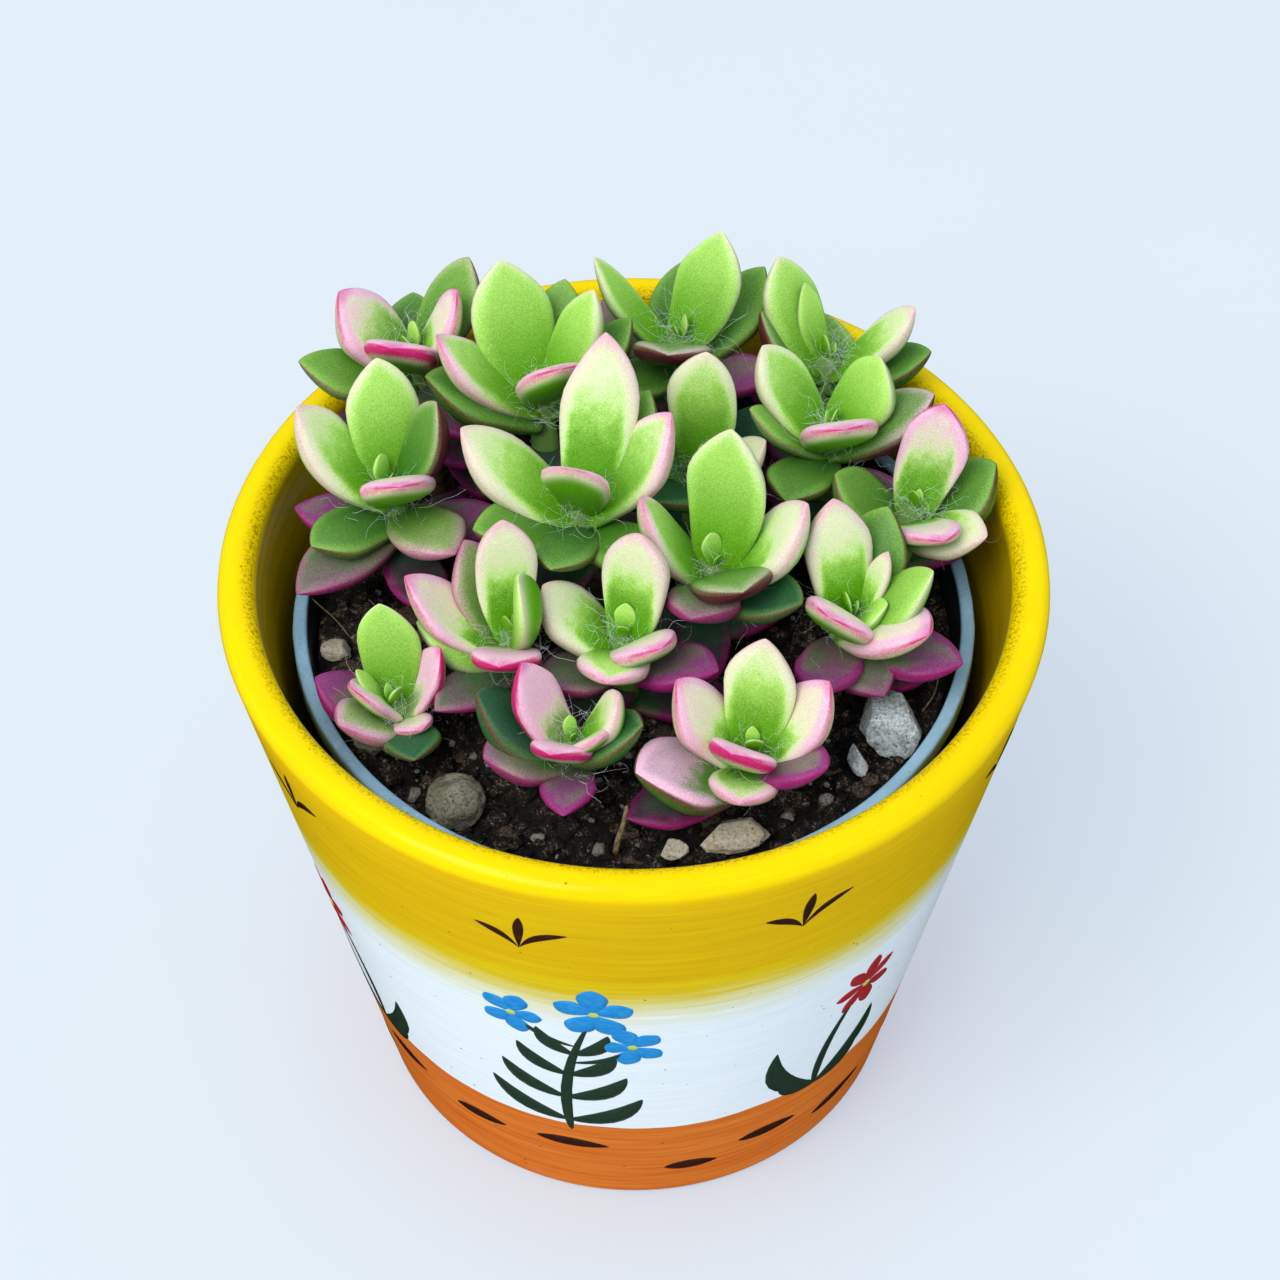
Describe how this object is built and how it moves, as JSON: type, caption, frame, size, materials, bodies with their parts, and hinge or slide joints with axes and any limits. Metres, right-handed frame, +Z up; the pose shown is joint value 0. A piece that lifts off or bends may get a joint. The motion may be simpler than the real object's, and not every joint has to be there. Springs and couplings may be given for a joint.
{
  "type": "potted variegated sand rose",
  "caption": "Variegated sand rose, a clump of fleshy rosettes in soil, in a nursery pot that stands inside a painted clay pot.",
  "frame": {"origin": "middle of the clay pot's foot, on the surface it stands on", "axes": "+Z up, along the pot's axis; the picture is taken from the -Y side, with +X to its right"},
  "size_m": [0.108, 0.108, 0.1196],
  "materials": {
    "pot": "hand painted in bands and varnished",
    "nursery_pot": "thin moulded plastic",
    "soil": null,
    "stone": "rough small stones",
    "leaf": null
  },
  "bodies": {
    "root": {"pot": "pot", "nursery_pot": "nursery_pot", "soil": "soil", "stone_round": "stone", "stone_pale": "stone", "stone_chip": "stone", "stone_flat": "stone", "stone_small": "stone", "stone_left": "stone", "stone_grey": "stone", "rosette_back_left": "leaf", "rosette_left": "leaf", "rosette_back": "leaf", "rosette_middle": "leaf", "rosette_far_back": "leaf", "rosette_inner_back": "leaf", "rosette_centre": "leaf", "rosette_back_right": "leaf", "rosette_right_back": "leaf", "rosette_right": "leaf", "rosette_right_front": "leaf", "rosette_front_right": "leaf", "rosette_front": "leaf", "rosette_left_centre": "leaf", "rosette_left_front": "leaf", "rosette_centre_front": "leaf"}
  },
  "joints": []
}
